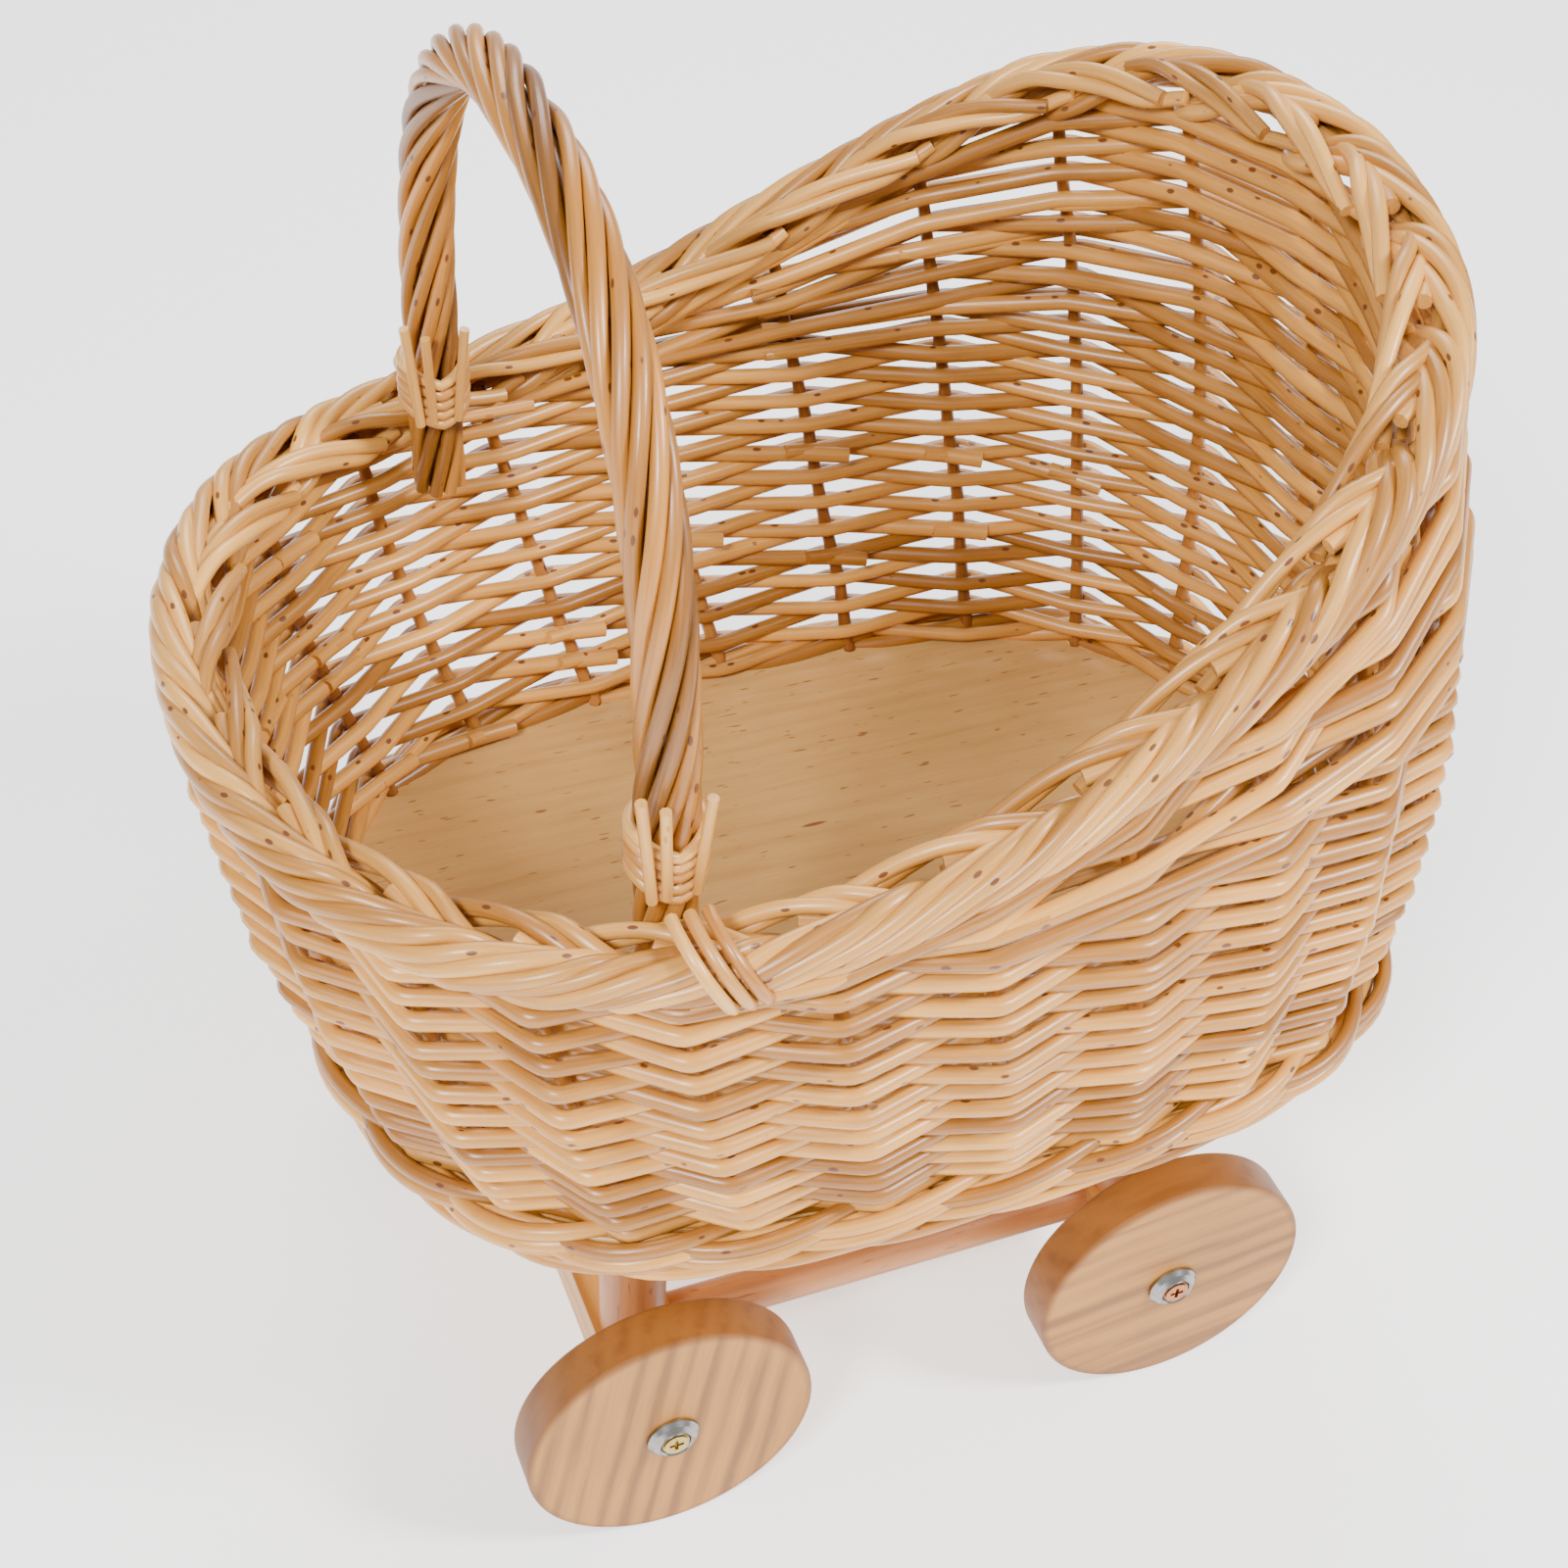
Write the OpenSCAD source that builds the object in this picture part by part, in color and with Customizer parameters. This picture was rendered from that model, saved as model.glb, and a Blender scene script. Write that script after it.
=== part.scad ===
// Doll stroller: a willow basket with a twisted carrying handle, standing on a
// pine and beech chassis with four solid wooden wheels.
// Frame: +X towards the high head end, +Y across, +Z up. Z = 0 is the floor.

/* [Basket base] */
// Half length of the basket at the base board, to the middle of its wall
base_a = 143; // [120:1:160]
// Half width of the basket at the base board, to the middle of its wall
base_b = 101.5; // [85:1:112]
// How square the base outline is: 0 is a plain ellipse
base_square = 0.4; // [0:0.05:0.5]
// Where the middle of the base lies along the length
base_x = 14; // [5:1:20]
// Height of the base board's top face above the floor
base_top = 124; // [110:1:135]
// Thickness of the plywood base board
board_t = 6; // [4:0.5:9]

/* [Basket rim] */
// Half length of the rim, to the middle of the plaited border
rim_a = 141; // [125:1:155]
// Half width of the rim, to the middle of the plaited border
rim_b = 116.5; // [100:1:125]
// How square the rim outline is: 0 is a plain ellipse
rim_square = 0.27; // [0:0.03:0.42]
// Where the middle of the rim lies along the length
rim_x = -12; // [-16:1:-6]
// Height of the rim at mid length
rim_mid = 250; // [240:1:260]
// Terms that raise the rim from foot to head, in powers of the place along it
rim_rise = [58, 53, -10, -18];
// Width of the plaited border
border_w = 21; // [16:1:24]
// Height of the plaited border
border_h = 16; // [12:1:20]

/* [Basket wall] */
// Thickness of the woven wall, weavers and stakes together
wall_t = 9; // [7:0.5:10]
// How far the wall swells past a straight line: at the foot end
swell_foot = 4; // [0:1:8]
// How far the wall swells past a straight line: at the head end
swell_head = 12; // [0:1:16]
// How far the wall swells past a straight line: at the sides
swell_side = 6; // [0:1:10]
// Height up to which the weaving goes round level
level_top = 222; // [200:1:224]
// Number of upright stakes
stakes_n = 24; // [16:2:30]
// Diameter of a stake
stake_d = 4; // [3:0.25:4.5]

/* [Handle] */
// Place of the handle along the length
handle_x = -73; // [-90:1:-50]
// Half width of the handle arch, to the middle of the rope
handle_b = 92.4; // [85:0.2:92.4]
// Height where the straight limbs end and the arch begins
arch_z = 269; // [260:1:280]
// Height of the arch above that
arch_h = 105.5; // [90:0.5:115]
// How square the arch is: 2 is an ellipse
arch_n = 2.34; // [2:0.02:2.6]
// Height of the lower ends of the handle rods
handle_foot = 220; // [212:1:232]
// Diameter of the middle rod
core_d = 6.4; // [5:0.2:7]
// Diameter of a twisted rod
rod_d = 3.8; // [3:0.2:4]
// Number of twisted rods round the middle rod
rods_n = 8; // [6:1:8]
// Turns that the rods make from one end of the handle to the other
rod_turns = 3.2; // [1:0.1:5]

/* [Chassis] */
// Distance between the two axle lines
wheelbase = 149; // [130:1:165]
// Middle of the wheelbase along the length
chassis_x = 4; // [-4:1:12]
// Distance between the outer faces of a pair of wheels
track = 195; // [180:1:205]
// Width of a beam, along the length of the object
beam_w = 22; // [20:1:30]
// Height of a beam
beam_h = 17; // [16:1:24]
// Diameter of the upright posts
post_d = 18; // [14:1:20]
// Distance of the posts' centres from the middle plane
post_y = 64; // [50:1:66]
// Diameter of the stretcher dowels
stretcher_d = 12; // [8:1:14]
// Depth of the stretchers' blind holes in the beams
socket_depth = 7.5; // [5:0.5:8]

/* [Wheels] */
// Wheel diameter
wheel_d = 80; // [70:1:90]
// Wheel thickness
wheel_t = 13.5; // [10:0.5:16]
// Radius of the wheels' softened edges
wheel_edge = 1.2; // [0.5:0.1:2]
// Gap between a wheel's back face and its beam
wheel_gap = 1; // [0.5:0.1:2]
// Shank diameter of a wheel screw
screw_d = 5; // [4:0.1:6]
// Radial running clearance of a wheel on its screw
clearance = 0.06; // [0.02:0.01:0.1]
// Length of a wheel screw under its head
screw_l = 34; // [28:1:36]
// Diameter of the cup washers
cup_d = 14.5; // [12:0.5:18]
// Height of the cup washers
cup_h = 3; // [2:0.1:3.6]

/* [Hidden] */

willow = "#dfb987";
skein = "#d8ae78";
plywood = "#d9b98a";
pine = "#e2bd86";
beech = "#c98a64";
nickel = "#a9a9ab";
zinc = "#c9b27c";

axle_z = wheel_d / 2;
beam_bottom = axle_z - beam_h / 2;
beam_top = axle_z + beam_h / 2;
beam_end = track / 2 - wheel_t - wheel_gap;
board_bottom = base_top - board_t;
stretcher_y = post_y - 4;
foot_x = chassis_x - wheelbase / 2;
head_x = chassis_x + wheelbase / 2;
border_drop = 9;      // height of the foot border under the board
wale_d = 8;           // the thick first rounds of weaving, seen from outside
swell_at = 1.5;       // the wall leans out this much over the rim's middle line
stake_crowd = 6.9;    // degrees that the stakes shift towards the near side
around = 72;          // points round a swept ring
washer_gap = 0.3;     // running gap between a cup washer and its wheel
head_d = 8;
head_h = 2.2;
post_screw_d = 4;
post_screw_l = 36;
screw_tip = track / 2 + washer_gap + cup_h - screw_l - 0.5;
step = 360 / around;

// ---- the basket's surfaces -------------------------------------------------

// height of the middle of the border at c, from -1 at the foot to 1 at the head
function rim_z(c) = rim_mid + rim_rise[0] * c + rim_rise[1] * c ^ 2
    + rim_rise[2] * c ^ 3 + rim_rise[3] * c ^ 4;

// a point of a squarish oval at the angle a, grown by "out" all round
function oval(a, half_l, half_w, square, x, out) = [
    x + (half_l + out) * cos(a),
    (half_w + out) * sin(a) * (1 + square * cos(a) ^ 2)];

function base_pt(a, out) = oval(a, base_a, base_b, base_square, base_x, out);
function rim_pt(a, out) = oval(a, rim_a, rim_b, rim_square, rim_x, out);

// how far the wall swells at the angle a
function swell(a) = swell_side * sin(a) ^ 2
    + (cos(a) > 0 ? swell_head : swell_foot) * cos(a) ^ 2;

// top of the woven wall, under the border
function wall_top(a) = rim_z(cos(a)) - border_h / 2;

// a point of the wall at the angle a and the height z, "out" from its middle
function wall_pt(a, z, out) =
    let (s = (z - base_top) / (wall_top(a) - base_top),
         o = out + swell(a) * sin(180 * s),
         low = base_pt(a, o),
         high = rim_pt(a, o + 2 * swell_at))
    [low[0] * (1 - s) + high[0] * s, low[1] * (1 - s) + high[1] * s, z];

// ---- helpers: closed rings and open tubes ----------------------------------

// a closed ring skinned through equal closed sections
module ring(sections) {
    m = len(sections);
    n = len(sections[0]);
    polyhedron(
        [for (s = sections) for (p = s) p],
        [for (i = [0 : m - 1]) for (j = [0 : n - 1])
            let (i2 = (i + 1) % m, j2 = (j + 1) % n)
            for (f = [[i * n + j, i2 * n + j, i2 * n + j2],
                      [i * n + j, i2 * n + j2, i * n + j2]]) f]);
}

function unit(v) = v / norm(v);

// rings of points round a path; "side" is never parallel to the path
function sweep_pts(path, r, sides, side) = [
    for (i = [0 : len(path) - 1])
        let (t = unit(path[min(i + 1, len(path) - 1)] - path[max(i - 1, 0)]),
             u = unit(cross(t, side)),
             v = cross(t, u))
        for (k = [0 : sides - 1])
            let (w = 360 * k / sides)
            path[i] + r * (cos(w) * u + sin(w) * v)];

function sweep_faces(rings, sides, first) = concat(
    [[for (k = [0 : sides - 1]) first + k]],
    [for (i = [0 : rings - 2]) for (k = [0 : sides - 1])
        let (a = first + i * sides, b = a + sides, k2 = (k + 1) % sides)
        for (f = [[a + k, b + k2, a + k2], [a + k, b + k, b + k2]]) f],
    [[for (k = [0 : sides - 1]) first + rings * sides - 1 - k]]);

// several separate round rods, each swept along its own path
module rods(paths, r, sides, side = [1, 0, 0]) {
    n = len(paths[0]);
    polyhedron(
        [for (p = paths) each sweep_pts(p, r, sides, side)],
        [for (i = [0 : len(paths) - 1]) each sweep_faces(n, sides, i * n * sides)]);
}

// a band of wall between two height functions, given as lists over the angle
module wall_band(z_low, z_high, levels) {
    ring([for (i = [0 : around - 1])
        let (a = -i * step, lo = z_low[i], hi = z_high[i])
        concat(
            [for (k = [0 : levels]) wall_pt(a, lo + (hi - lo) * k / levels, wall_t / 2)],
            [for (k = [levels : -1 : 0])
                wall_pt(a, lo + (hi - lo) * k / levels, -wall_t / 2)])]);
}

// ---- the basket ------------------------------------------------------------

// the angle at which stake i stands, a little closer together on the near side
function stake_angle(i) = let (a = 360 * i / stakes_n) a - stake_crowd * cos(a);

// plywood board, drilled near its edge for the stakes
module base_board() {
    color(plywood) translate([0, 0, board_bottom]) linear_extrude(board_t) difference() {
        polygon([for (i = [0 : around - 1]) base_pt(i * step, wall_t / 2 - 1)]);
        for (i = [0 : stakes_n - 1]) translate(base_pt(stake_angle(i), 0))
            circle(d = stake_d + 0.1, $fn = 24);
    }
}

// upright willow rods: through the board, up the wall and into the border
module stakes() {
    rise = 6;
    color(willow) rods([for (i = [0 : stakes_n - 1])
        let (a = stake_angle(i), foot = base_pt(a, 0), top = rim_z(cos(a)) - border_h / 4)
        concat(
            [[foot[0], foot[1], board_bottom - border_drop / 2],
             [foot[0], foot[1], base_top]],
            [for (k = [1 : rise]) wall_pt(a, base_top + (top - base_top) * k / rise, 0)])],
        stake_d / 2, 8);
}

// rounded section of a ring that lies flat: half sizes w and h, middle at height z
function band(a, w, h, z, sides, out) = [
    for (k = [0 : sides - 1])
        let (t = 360 * k / sides, p = base_pt(a, out + w * cos(t)))
        [p[0], p[1], z + h * sin(t)]];

// stake ends turned under the board and woven into a foot
module foot_border() {
    color(willow) ring([for (i = [0 : around - 1])
        band(-i * step, 4.5, border_drop / 2, board_bottom - border_drop / 2, 8, -1)]);
}

// thick first rounds that lock the wall to the board's edge, outside the wall
module base_wale() {
    color(willow) ring([for (i = [0 : around - 1])
        band(-i * step, 2.4, wale_d / 2, base_top - 1, 8, wall_t / 2 + 2.6)]);
}

// level weaving from the board up to the low rim
module side_weave() {
    color(willow) wall_band(
        [for (i = [0 : around - 1]) base_top],
        [for (i = [0 : around - 1]) level_top], 6);
}

// packed weaving that rises from the level rounds to the high head end
module head_weave() {
    color(skein) wall_band(
        [for (i = [0 : around - 1]) level_top],
        [for (i = [0 : around - 1]) wall_top(-i * step)], 5);
}

// plaited border along the rim
module rim_border() {
    sides = 12;
    color(willow) ring([for (i = [0 : around - 1])
        let (a = -i * step, z = rim_z(cos(a)))
        [for (k = [0 : sides - 1])
            let (t = 360 * k / sides, p = rim_pt(a, border_w / 2 * cos(t)))
            [p[0], p[1], z + border_h / 2 * sin(t)]]]);
}

// ---- the handle ------------------------------------------------------------

arch_steps = 30;
limb_steps = 5;
// middle line of the handle: up the near limb, over, down the far limb
handle_path = concat(
    [for (k = [0 : limb_steps - 1])
        [handle_x, -handle_b, handle_foot + (arch_z - handle_foot) * k / limb_steps]],
    [for (k = [0 : arch_steps])
        let (t = 180 * k / arch_steps, c = cos(t))
        [handle_x, -sign(c) * handle_b * abs(c) ^ (2 / arch_n),
         arch_z + arch_h * sin(t) ^ (2 / arch_n)]],
    [for (k = [limb_steps - 1 : -1 : 0])
        [handle_x, handle_b, handle_foot + (arch_z - handle_foot) * k / limb_steps]]);
handle_n = len(handle_path);

function run(i) = i == 0 ? 0 : run(i - 1) + norm(handle_path[i] - handle_path[i - 1]);
handle_len = run(handle_n - 1);
// angle of the twist at point i, made even over the handle's length
handle_twist = [for (i = [0 : handle_n - 1]) 360 * rod_turns * run(i) / handle_len];

// middle rod that gives the handle its strength
module handle_core() {
    color(willow) rods([handle_path], core_d / 2, 10);
}

// rods twisted like a rope round the middle rod
module handle_rods() {
    lay = (core_d + rod_d) / 2 + 0.25;
    color(skein) rods([for (j = [0 : rods_n - 1])
        [for (i = [0 : handle_n - 1])
            let (p = handle_path[i],
                 t = unit(handle_path[min(i + 1, handle_n - 1)] - handle_path[max(i - 1, 0)]),
                 n = cross(t, [1, 0, 0]),
                 w = handle_twist[i] + 360 * j / rods_n)
            p + lay * (cos(w) * [1, 0, 0] + sin(w) * n)]],
        rod_d / 2 - 0.15, 6);
}

binding_turns = 5;
skein_r = 1.3;
binding_r = core_d / 2 + rod_d + skein_r + 0.4;

// split-willow binding: close turns round the limb, straps down over the border
module handle_binding(side) {
    over = border_h / 2 + 1.4;
    reach = border_w / 2 + 1.4;
    c = (handle_x - rim_x) / rim_a;
    rim_here = rim_pt(acos(c), 0);
    color(skein) {
        for (k = [0 : binding_turns - 1])
            translate([handle_x, side * handle_b, rim_z(c) + over + 3.4 + k * 3])
                rotate_extrude($fn = 48) translate([binding_r, 0]) circle(skein_r, $fn = 16);
        rods([for (dx = [-5, 0, 5])
            [for (t = [60 : -20 : -60])
                [handle_x + dx, side * (rim_here[1] + reach * cos(t)),
                 rim_z((handle_x + dx - rim_x) / rim_a) + over * sin(t)]]],
            skein_r, 8);
    }
}
module handle_binding_near() { handle_binding(-1); }
module handle_binding_far() { handle_binding(1); }

// ---- the chassis -----------------------------------------------------------

// pine beam across the object: bores for the wheel screws, the post screws and
// the stretchers, which enter the face that looks at the other beam
module beam(x, inwards) {
    color(pine) difference() {
        translate([x - beam_w / 2, -beam_end, beam_bottom])
            cube([beam_w, 2 * beam_end, beam_h]);
        for (side = [-1, 1]) {
            translate([x, side * (beam_end + 1), axle_z]) rotate([side * 90, 0, 0])
                cylinder(d = screw_d, h = beam_end + 1 - screw_tip, $fn = 48);
            translate([x, side * post_y, beam_bottom - 1]) {
                cylinder(d = post_screw_d, h = beam_h + 2, $fn = 48);
                cylinder(d = head_d + 0.6, h = head_h + 1.4, $fn = 48);
            }
            translate([x + inwards * (beam_w / 2 - socket_depth), side * stretcher_y, axle_z])
                rotate([0, inwards * 90, 0])
                    cylinder(d = stretcher_d, h = socket_depth + 1, $fn = 64);
        }
    }
}
module beam_foot() { beam(foot_x, 1); }
module beam_head() { beam(head_x, -1); }

// beech post from the beam up to the underside of the board, drilled for its screw
module post(x, side) {
    color(beech) translate([x, side * post_y, beam_top]) difference() {
        cylinder(d = post_d, h = board_bottom - beam_top, $fn = 72);
        translate([0, 0, -1])
            cylinder(d = post_screw_d, h = post_screw_l - beam_h + 2, $fn = 48);
    }
}
module post_foot_near() { post(foot_x, -1); }
module post_foot_far() { post(foot_x, 1); }
module post_head_near() { post(head_x, -1); }
module post_head_far() { post(head_x, 1); }

// beech dowel that ties the two beams together
module stretcher(side) {
    length = wheelbase - beam_w + 2 * socket_depth - 0.4;
    color(beech) translate([chassis_x - length / 2, side * stretcher_y, axle_z])
        rotate([0, 90, 0]) cylinder(d = stretcher_d - 0.1, h = length, $fn = 64);
}
module stretcher_near() { stretcher(-1); }
module stretcher_far() { stretcher(1); }

// screws driven up through the beams into the posts
module post_screws() {
    color(zinc) for (x = [foot_x, head_x]) for (side = [-1, 1])
        translate([x, side * post_y, beam_bottom + 0.2]) {
            cylinder(d = post_screw_d - 0.1, h = post_screw_l, $fn = 48);
            cylinder(d = head_d, h = head_h, $fn = 48);
        }
}

// ---- the wheels ------------------------------------------------------------

// turned pine disc with softened edges and a plain bore
module wheel(x, side) {
    r = wheel_d / 2;
    e = wheel_edge;
    bore = screw_d / 2 + clearance;
    color(pine) translate([x, side * track / 2, axle_z]) rotate([side * 90, 0, 0])
        rotate_extrude($fn = 180) polygon(concat(
            [[bore, 0]],
            [for (t = [0 : 30 : 90]) [r - e + e * sin(t), e - e * cos(t)]],
            [for (t = [0 : 30 : 90]) [r - e + e * cos(t), wheel_t - e + e * sin(t)]],
            [[bore, wheel_t]]));
}
module wheel_foot_near() { wheel(foot_x, -1); }
module wheel_foot_far() { wheel(foot_x, 1); }
module wheel_head_near() { wheel(head_x, -1); }
module wheel_head_far() { wheel(head_x, 1); }

// place children at each wheel, +Z pointing away from the object, 0 at its face
module at_wheels() {
    for (x = [foot_x, head_x]) for (side = [-1, 1])
        translate([x, side * track / 2, axle_z]) rotate([-side * 90, 0, 0]) children();
}

// pressed cup washers that seat the screw heads on the wheels
module cup_washers() {
    bore = screw_d / 2 + 0.2;
    color(nickel) at_wheels() translate([0, 0, washer_gap]) rotate_extrude($fn = 96)
        polygon([[bore, 0], [cup_d / 2, 0], [cup_d / 2, 0.6], [cup_d / 2 - 1, 1.7],
                 [cup_d / 2 - 2.4, cup_h - 0.3], [head_d / 2 + 0.6, cup_h],
                 [head_d / 2 + 0.1, cup_h - 0.5], [head_d / 2 + 0.1, cup_h - head_h],
                 [bore, cup_h - head_h]]);
}

// countersunk cross-head screws that the wheels turn on
module wheel_screws() {
    top = washer_gap + cup_h;
    recess = 1.2;
    color(zinc) at_wheels() difference() {
        union() {
            translate([0, 0, top - screw_l]) cylinder(d = screw_d - 0.02, h = screw_l - 1, $fn = 72);
            translate([0, 0, top - head_h]) cylinder(d = head_d - 0.4, h = head_h - 0.6, $fn = 72);
            translate([0, 0, top - 0.6]) cylinder(d = head_d - 1, h = 0.6, $fn = 72);
        }
        for (t = [0, 90]) rotate([0, 0, t])
            translate([-head_d / 4, -0.5, top - recess]) cube([head_d / 2, 1, recess + 1]);
    }
}

base_board();
stakes();
foot_border();
base_wale();
side_weave();
head_weave();
rim_border();
handle_core();
handle_rods();
handle_binding_near();
handle_binding_far();
beam_foot();
beam_head();
post_foot_near();
post_foot_far();
post_head_near();
post_head_far();
stretcher_near();
stretcher_far();
wheel_foot_near();
wheel_foot_far();
wheel_head_near();
wheel_head_far();
cup_washers();
wheel_screws();
post_screws();
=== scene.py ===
# A doll stroller: a willow basket on a pine and beech chassis with four wooden wheels.
# It stands as it was made: board, chassis, wheels, weaving, border, handle, bindings.
import math
import random

import bpy
import numpy as np
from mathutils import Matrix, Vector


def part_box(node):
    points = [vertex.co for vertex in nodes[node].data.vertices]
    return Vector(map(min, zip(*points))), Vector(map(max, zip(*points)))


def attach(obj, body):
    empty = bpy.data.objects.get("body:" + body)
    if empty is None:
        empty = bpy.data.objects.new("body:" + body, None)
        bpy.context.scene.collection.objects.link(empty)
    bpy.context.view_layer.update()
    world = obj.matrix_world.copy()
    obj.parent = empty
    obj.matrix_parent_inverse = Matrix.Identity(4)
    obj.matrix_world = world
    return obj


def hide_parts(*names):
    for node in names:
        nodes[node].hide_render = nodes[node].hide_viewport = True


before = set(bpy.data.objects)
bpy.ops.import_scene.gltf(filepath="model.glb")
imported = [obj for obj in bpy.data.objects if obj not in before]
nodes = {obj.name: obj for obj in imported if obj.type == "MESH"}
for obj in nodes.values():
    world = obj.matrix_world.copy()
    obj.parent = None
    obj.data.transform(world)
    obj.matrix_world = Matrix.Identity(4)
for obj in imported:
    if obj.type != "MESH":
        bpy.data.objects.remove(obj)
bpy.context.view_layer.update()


# ---- Studio -----------------------------------------------------------------
# A wide pale floor, soft lamps of nearly equal strength to the left and right of the
# camera, a wider one behind and a white surround, so that shadows stay faint.
camera = bpy.data.objects.new("camera", bpy.data.cameras.new("camera"))
camera.data.lens = 59.18
camera.data.sensor_width = 36
camera.location = (-0.2066, -0.4644, 0.6279)
camera.rotation_euler = [math.radians(turn) for turn in (47.86, -2.40, -21.07)]
camera.data.clip_start = 0.01
bpy.context.scene.collection.objects.link(camera)
bpy.context.scene.camera = camera


def add(tree, kind, inputs=None, **settings):
    """Adds a node, sets it up, and fills or links its inputs."""
    node = tree.nodes.new(kind)
    for key, value in settings.items():
        setattr(node, key, value)
    for key, value in (inputs or {}).items():
        socket = node.inputs[key]
        if isinstance(value, bpy.types.NodeSocket):
            tree.links.new(value, socket)
        else:
            socket.default_value = value
    return node


def linear(hex_colour):
    """An sRGB hex colour as linear red, green, blue and alpha."""
    parts = [int(hex_colour[i:i + 2], 16) / 255 for i in (1, 3, 5)]
    return [c / 12.92 if c <= 0.04045 else ((c + 0.055) / 1.055) ** 2.4 for c in parts] + [1]


def new_material(name):
    """An empty material, and its node tree with a surface shader wired to the output."""
    material = bpy.data.materials.new(name)
    material.use_nodes = True
    tree = material.node_tree
    tree.nodes.clear()
    shader = add(tree, "ShaderNodeBsdfPrincipled")
    add(tree, "ShaderNodeOutputMaterial", {"Surface": shader.outputs[0]})
    return material, tree, shader


basket_middle = 0.18                  # metres above the floor


def soft_lamp(name, place, width, watts):
    """A square lamp that looks at the middle of the basket."""
    lamp = bpy.data.objects.new(name, bpy.data.lights.new(name, "AREA"))
    lamp.data.shape = "SQUARE"
    lamp.data.size = width
    lamp.data.energy = watts
    lamp.location = place
    aim = lamp.location.copy()
    aim.z -= basket_middle
    lamp.rotation_euler = aim.to_track_quat("Z", "Y").to_euler()
    bpy.context.scene.collection.objects.link(lamp)


soft_lamp("key_lamp", (-1.0, -1.0, 1.5), 0.4, 46)
soft_lamp("fill_lamp", (1.1, -0.9, 1.5), 0.4, 48)
soft_lamp("back_lamp", (0.4, 1.3, 1.4), 0.9, 20)
world = bpy.data.worlds.new("studio")
world.use_nodes = True
world.node_tree.nodes["Background"].inputs["Color"].default_value = (1, 1, 1, 1)
world.node_tree.nodes["Background"].inputs["Strength"].default_value = 0.5
bpy.context.scene.world = world

floor_material, tree, shader = new_material("pale_floor")
shader.inputs["Base Color"].default_value = linear("#f7f7f7")
shader.inputs["Roughness"].default_value = 0.9
shader.inputs["Emission Color"].default_value = (1, 1, 1, 1)
shader.inputs["Emission Strength"].default_value = 0.9
floor_half = 4
floor_mesh = bpy.data.meshes.new("floor")
floor_mesh.from_pydata([(x * floor_half, y * floor_half, 0)
                        for x, y in ((-1, -1), (1, -1), (1, 1), (-1, 1))], [], [(0, 1, 2, 3)])
floor_mesh.materials.append(floor_material)
floor = bpy.data.objects.new("floor", floor_mesh)
bpy.context.scene.collection.objects.link(floor)


# ---- Base board ---------------------------------------------------------------
# The bottom of the basket is birch-faced plywood, sawn to an oval and left unvarnished.
# Its grain runs along the basket, pale straw with short brown pores and one dark fleck.
def finish_node(name, material):
    """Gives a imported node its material."""
    mesh = nodes[name].data
    mesh.materials.clear()
    mesh.materials.append(material)


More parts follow.
